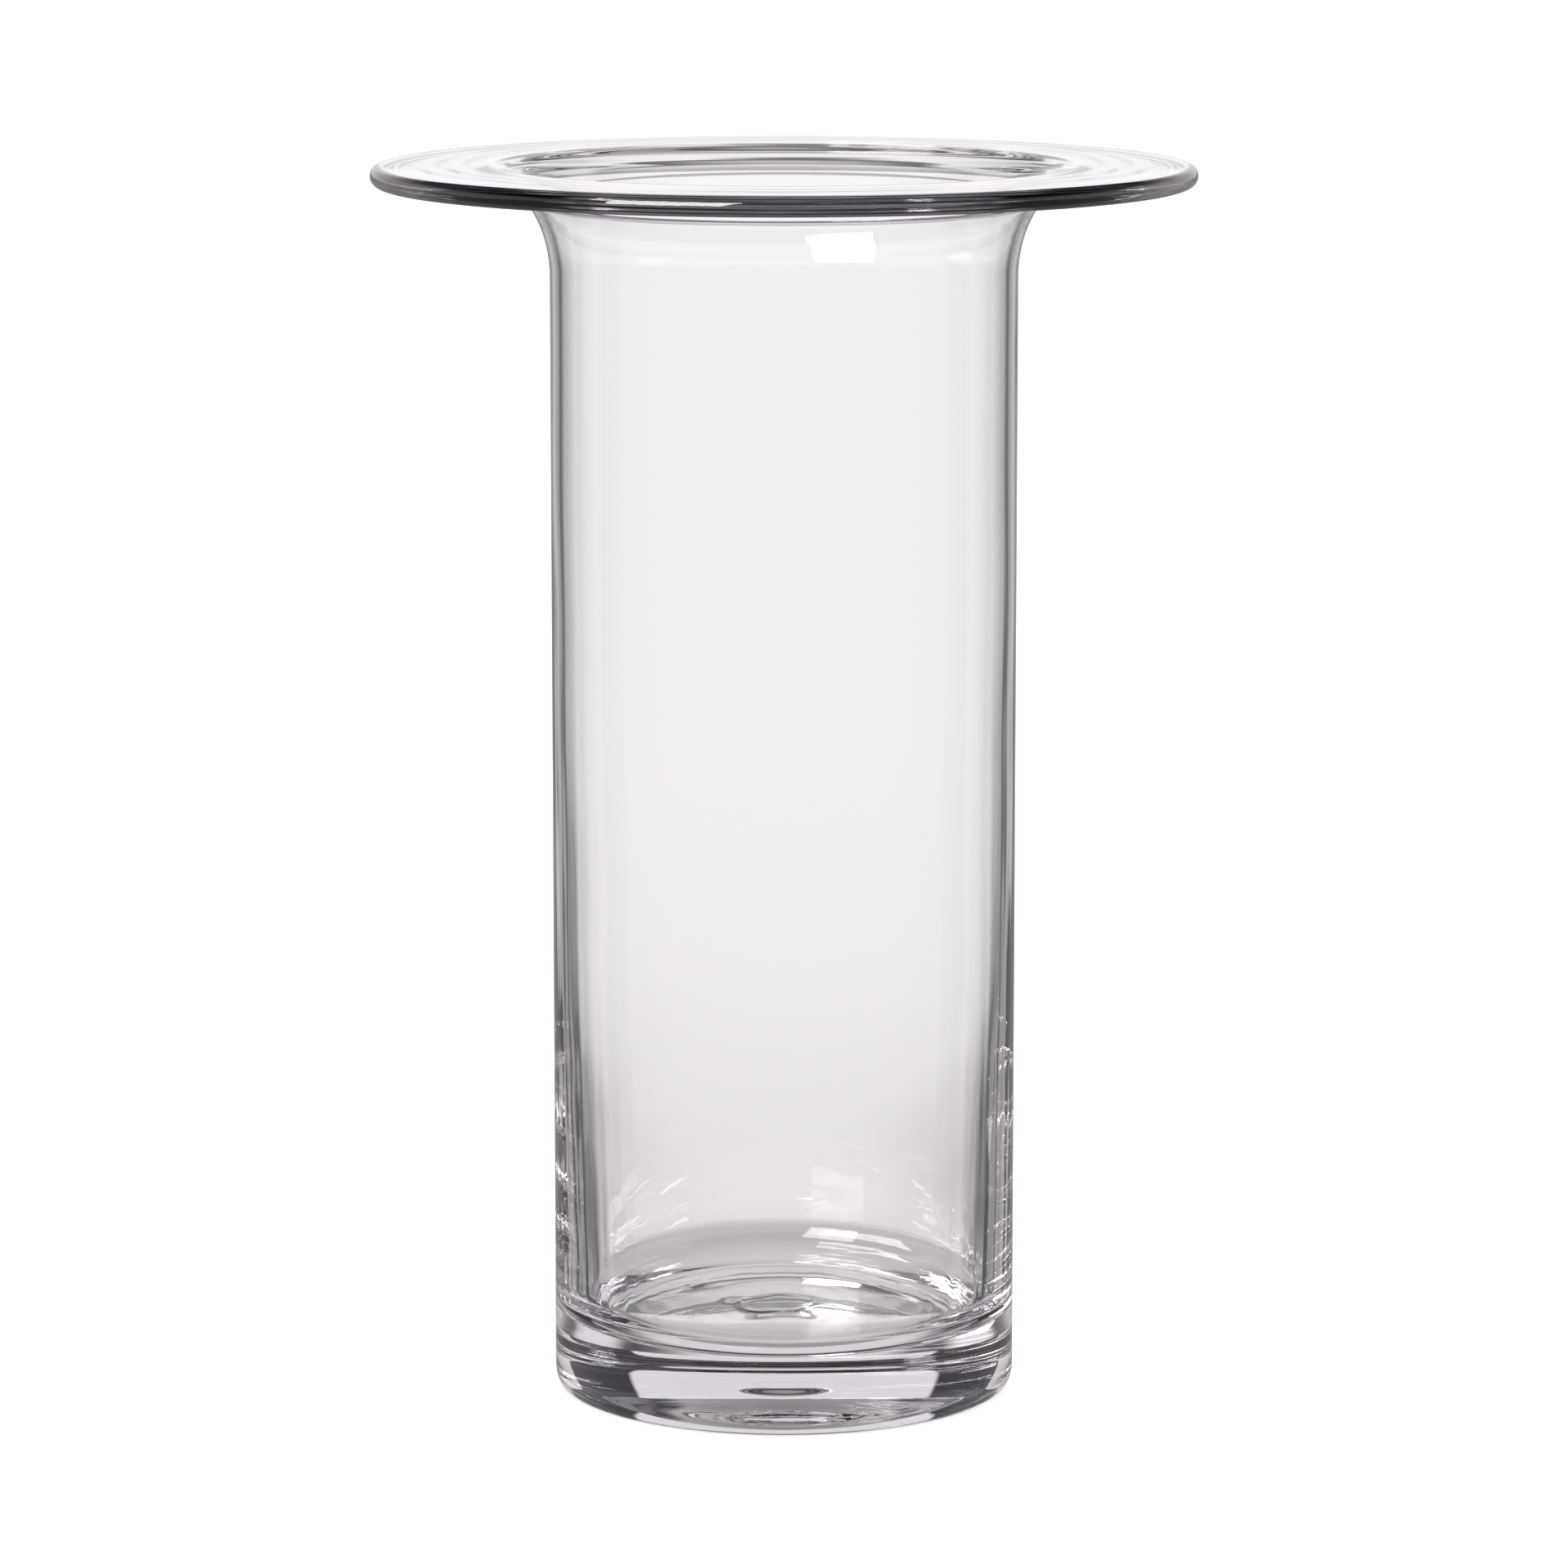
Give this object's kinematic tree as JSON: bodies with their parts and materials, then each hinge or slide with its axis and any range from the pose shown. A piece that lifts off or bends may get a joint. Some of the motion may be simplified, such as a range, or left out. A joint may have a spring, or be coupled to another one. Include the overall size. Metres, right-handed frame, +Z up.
{
  "type": "glass cylinder vase",
  "caption": "Clear blown-glass cylinder vase with a thick solid base and a wide level brim that spreads cut stems.",
  "frame": {"origin": "centre of the underside, on the plane that the vase stands on", "axes": "+Z up along the axis of the vase; X and Y are alike, because the vase is turned"},
  "size_m": [0.2, 0.2, 0.302],
  "materials": {
    "clear_glass": "clear blown glass, fire-polished, faintly wavy inside"
  },
  "bodies": {
    "root": {"base": "clear_glass", "heel": "clear_glass", "body": "clear_glass", "flare": "clear_glass", "brim": "clear_glass", "lip": "clear_glass"}
  },
  "joints": []
}
